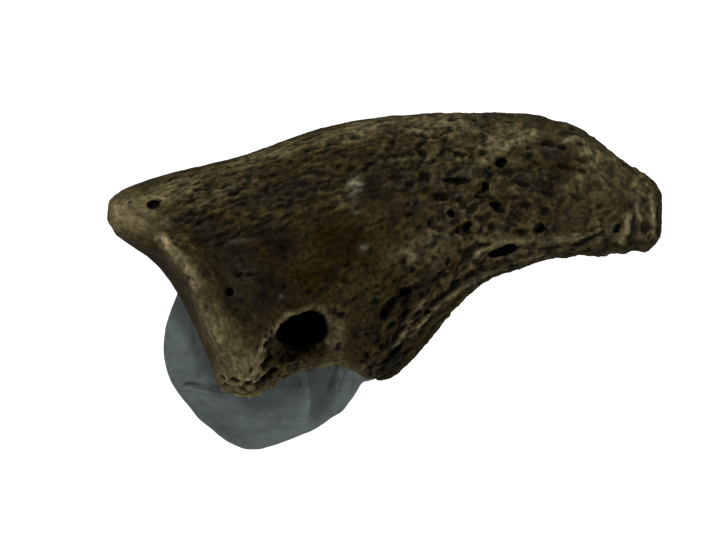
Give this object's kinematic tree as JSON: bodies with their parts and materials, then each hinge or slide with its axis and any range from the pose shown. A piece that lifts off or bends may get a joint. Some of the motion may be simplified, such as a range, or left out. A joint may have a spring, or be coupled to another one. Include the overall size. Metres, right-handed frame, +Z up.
{
  "type": "kangaroo claw bone",
  "caption": "Life-size fossil-brown claw bone of a kangaroo's big toe, lying on its side on a lump of grey putty.",
  "frame": {"origin": "on the table under the middle of the part's box", "axes": "+X from the joint end to the broken tip, +Y to the back of the claw, +Z up, out of the bone's upper side"},
  "size_m": [0.0502, 0.0308, 0.0195],
  "materials": {
    "bone": "old stained bone, dark brown with tan and grey-green patches, finely pitted, dull sheen",
    "putty": "blue-grey mounting putty, soft satin, with folds and fine finger marks"
  },
  "bodies": {
    "root": {"claw_bone": "bone", "putty_lump": "putty"}
  },
  "joints": []
}
